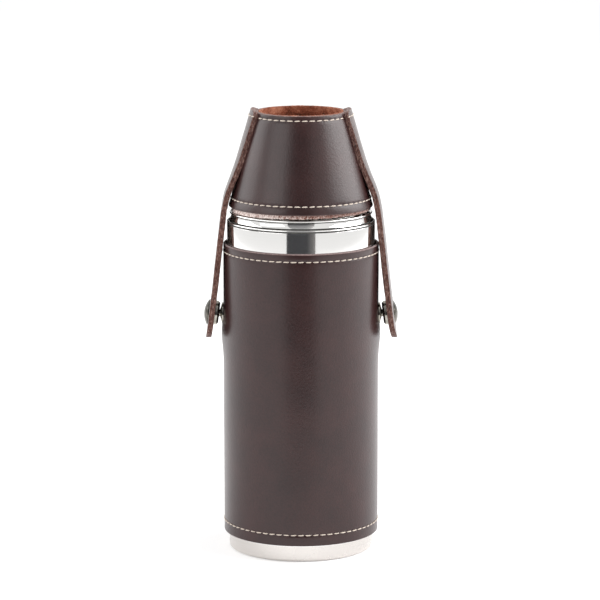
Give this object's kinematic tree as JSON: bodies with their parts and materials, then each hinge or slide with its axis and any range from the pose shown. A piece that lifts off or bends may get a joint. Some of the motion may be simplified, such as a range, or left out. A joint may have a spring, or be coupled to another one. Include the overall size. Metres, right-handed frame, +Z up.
{
  "type": "hunter's flask",
  "caption": "Round steel flask in a stitched leather sleeve, with nested cups over its screw cap under an open-topped leather cover held by two snap straps.",
  "frame": {"origin": "centre of the foot ring, on the surface that the flask stands on", "axes": "+Z up along the flask's axis, +X towards one strap and snap, +Y towards the leather's back seam"},
  "size_m": [0.0796, 0.064, 0.1819],
  "materials": {
    "polished_steel": "mirror-polished stainless steel",
    "satin_steel": "satin stainless steel foot",
    "sleeve_leather": "smooth dark brown leather, semi-matt",
    "strap_leather": "dark brown leather with rough cut edges",
    "suede_lining": "orange-brown suede",
    "thread": "cream waxed thread",
    "nickel": "nickel-plated brass",
    "seal_rubber": "off-white food-grade rubber"
  },
  "bodies": {
    "flask": {"flask_can": "polished_steel", "flask_base": "satin_steel", "flask_shoulder": "polished_steel", "flask_neck": "polished_steel", "sleeve_leather": "sleeve_leather", "sleeve_lining": "suede_lining", "sleeve_stitches_top": "thread", "sleeve_stitches_bottom": "thread", "sleeve_stitches_seam": "thread", "snap_left_stud": "nickel", "snap_left_post": "nickel", "snap_right_stud": "nickel", "snap_right_post": "nickel"},
    "seal": {"cap_liner": "seal_rubber"},
    "cap": {"screw_cap": "polished_steel"},
    "cup_1": {"cup_1": "polished_steel"},
    "cup_2": {"cup_2": "polished_steel"},
    "cup_3": {"cup_3": "polished_steel"},
    "cup_4": {"cup_4": "polished_steel"},
    "cover": {"cover_leather": "sleeve_leather", "cover_lining": "suede_lining", "cover_stitches_top": "thread", "cover_stitches_bottom": "thread", "cover_stitches_seam": "thread", "strap_left_sewn_face": "strap_leather", "strap_left_sewn_backing": "strap_leather", "strap_right_sewn_face": "strap_leather", "strap_right_sewn_backing": "strap_leather"},
    "strap_left": {"strap_left_tail_face": "strap_leather", "strap_left_tail_backing": "strap_leather", "snap_left_cap": "nickel", "snap_left_socket": "nickel"},
    "strap_right": {"strap_right_tail_face": "strap_leather", "strap_right_tail_backing": "strap_leather", "snap_right_cap": "nickel", "snap_right_socket": "nickel"}
  },
  "joints": [
    {"name": "cap_lift", "type": "slide", "parent": "flask", "child": "seal", "axis": [0, 0, 1], "range_m": [0, 0.0061]},
    {"name": "cap_turn", "type": "hinge", "parent": "seal", "child": "cap", "pos_m": [0, 0, 0.1505], "axis": [0, 0, 1], "range_deg": [0, 720]},
    {"name": "cup_1_lift", "type": "slide", "parent": "flask", "child": "cup_1", "axis": [0, 0, 1], "range_m": [0, 0.04]},
    {"name": "cup_2_lift", "type": "slide", "parent": "cup_1", "child": "cup_2", "axis": [0, 0, 1], "range_m": [0, 0.04]},
    {"name": "cup_3_lift", "type": "slide", "parent": "cup_2", "child": "cup_3", "axis": [0, 0, 1], "range_m": [0, 0.04]},
    {"name": "cup_4_lift", "type": "slide", "parent": "cup_3", "child": "cup_4", "axis": [0, 0, 1], "range_m": [0, 0.04]},
    {"name": "cover_lift", "type": "slide", "parent": "cup_4", "child": "cover", "axis": [0, 0, 1], "range_m": [0, 0.1]},
    {"name": "strap_left_swing", "type": "hinge", "parent": "cover", "child": "strap_left", "pos_m": [-0.03146, 0, 0.147], "axis": [0, 1, 0], "range_deg": [0, 120]},
    {"name": "strap_right_swing", "type": "hinge", "parent": "cover", "child": "strap_right", "pos_m": [0.03146, 0, 0.147], "axis": [0, -1, 0], "range_deg": [0, 120]}
  ],
  "couplings": [
    {"joint": "cap_lift", "follows": "cap_turn", "m_per_rad": 0.00047746}
  ]
}
